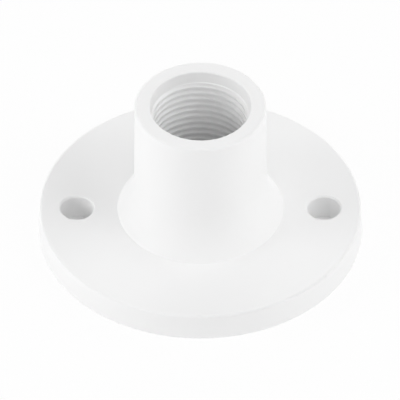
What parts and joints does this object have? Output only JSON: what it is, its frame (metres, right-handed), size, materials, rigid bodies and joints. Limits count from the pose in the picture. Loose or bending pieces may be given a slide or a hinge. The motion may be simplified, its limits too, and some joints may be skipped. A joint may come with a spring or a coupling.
{
  "type": "ceiling canopy",
  "caption": "Round white plastic ceiling canopy with a flared tubular boss, a fine internal nipple thread with a plain lead-in, and plain screw holes through the plate.",
  "frame": {"origin": "centre of the flat face that lies on the ceiling", "axes": "+Z along the boss, away from the ceiling; +X through the screw holes"},
  "size_m": [0.042, 0.042, 0.0214],
  "materials": {
    "white_plastic": "smooth satin gloss, as moulded"
  },
  "bodies": {
    "root": {"ceiling_canopy": "white_plastic"}
  },
  "joints": []
}
